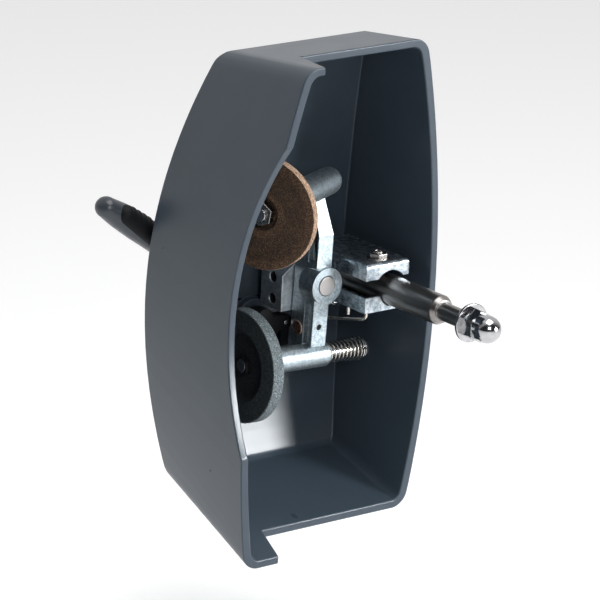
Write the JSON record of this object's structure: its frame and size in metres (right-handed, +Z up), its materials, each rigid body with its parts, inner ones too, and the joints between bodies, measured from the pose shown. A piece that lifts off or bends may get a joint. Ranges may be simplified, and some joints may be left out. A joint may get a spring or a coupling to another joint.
{
  "type": "slicer blade sharpener",
  "caption": "Removable blade sharpener for a rotary food slicer: an open moulded cover, a rocking arm with a grinding and a honing stone, a rear lever and a mounting post.",
  "frame": {"origin": "the mounting post's axis where it crosses the plane of the cover's main rim", "axes": "+Z up, -Y along the post out of the cover's open front, +X to the right seen from that front"},
  "size_m": [0.1327, 0.1515, 0.2318],
  "materials": {
    "cover_plastic": "satin",
    "grip_plastic": "satin",
    "lever_plastic": "satin",
    "block_metal": "satin",
    "zinc": "satin",
    "plated_sheet": "satin",
    "turned_steel": "satin",
    "bright_steel": "polished",
    "dark_steel": "satin",
    "copper": "satin",
    "bronze": "satin",
    "brown_stone": "matte",
    "grey_stone": "matte",
    "nickel_wire": "satin"
  },
  "bodies": {
    "frame": {"cover": "cover_plastic", "mounting_block": "block_metal", "block_set_screws": "dark_steel", "cover_screws": "dark_steel", "shaft_bush": "dark_steel", "upper_clamp_plate": "plated_sheet", "lower_clamp_plate": "plated_sheet", "lower_plate_screws": "bright_steel", "clamp_screw": "dark_steel", "clamp_nut": "bright_steel", "clamp_washer": "bright_steel", "clamp_dowel": "bright_steel", "mounting_post": "turned_steel", "post_washer": "bright_steel", "acorn_nut": "bright_steel", "pivot_pin": "turned_steel", "wire_spring": "nickel_wire"},
    "rocker": {"rocker_arm": "zinc", "rocker_set_screw": "dark_steel", "rocker_rivet": "copper", "grinding_bushes": "bronze", "honing_bushes": "bronze", "return_spring": "bright_steel"},
    "grinding_wheel": {"grinding_spindle": "turned_steel", "grinding_flange": "turned_steel", "grinding_stone": "brown_stone", "grinding_nut": "bright_steel"},
    "spring_seat": {"spring_seat": "bright_steel"},
    "honing_wheel": {"honing_spindle": "turned_steel", "honing_flange": "turned_steel", "honing_stone": "grey_stone", "honing_nut": "dark_steel", "spring_clip": "bright_steel"},
    "lever": {"lever_shaft": "turned_steel", "crank": "grip_plastic", "crank_pin": "bright_steel", "lever_hub": "lever_plastic", "hub_screw": "dark_steel", "lever_handle": "lever_plastic", "lever_grip": "grip_plastic"}
  },
  "joints": [
    {"name": "rocker_swing", "type": "hinge", "parent": "frame", "child": "rocker", "pos_m": [-0.0272, 0.0225, 0.0024], "axis": [0, 1, 0], "range_deg": [-2.5, 3], "stiffness_Nm_per_rad": 8},
    {"name": "lever_turn", "type": "hinge", "parent": "frame", "child": "lever", "pos_m": [-0.0415, 0.066, -0.02], "axis": [0, 1, 0], "range_deg": [-10, 12]},
    {"name": "grinding_spin", "type": "hinge", "parent": "rocker", "child": "grinding_wheel", "pos_m": [-0.02534, 0.0315, 0.04866], "axis": [0.9087, 0.4175, 0.0045], "continuous": true},
    {"name": "honing_push", "type": "slide", "parent": "rocker", "child": "spring_seat", "axis": [-0.9992, 0, 0.0401], "range_m": [0, 0.004], "stiffness_N_per_m": 5900, "springref_m": -0.002, "deforming": ["return_spring"]},
    {"name": "honing_spin", "type": "hinge", "parent": "spring_seat", "child": "honing_wheel", "pos_m": [-0.02862, 0.032, -0.03307], "axis": [0.9992, 0, -0.0401], "continuous": true}
  ],
  "couplings": [
    {"joint": "lever_turn", "follows": "rocker_swing", "ratio": 4}
  ]
}
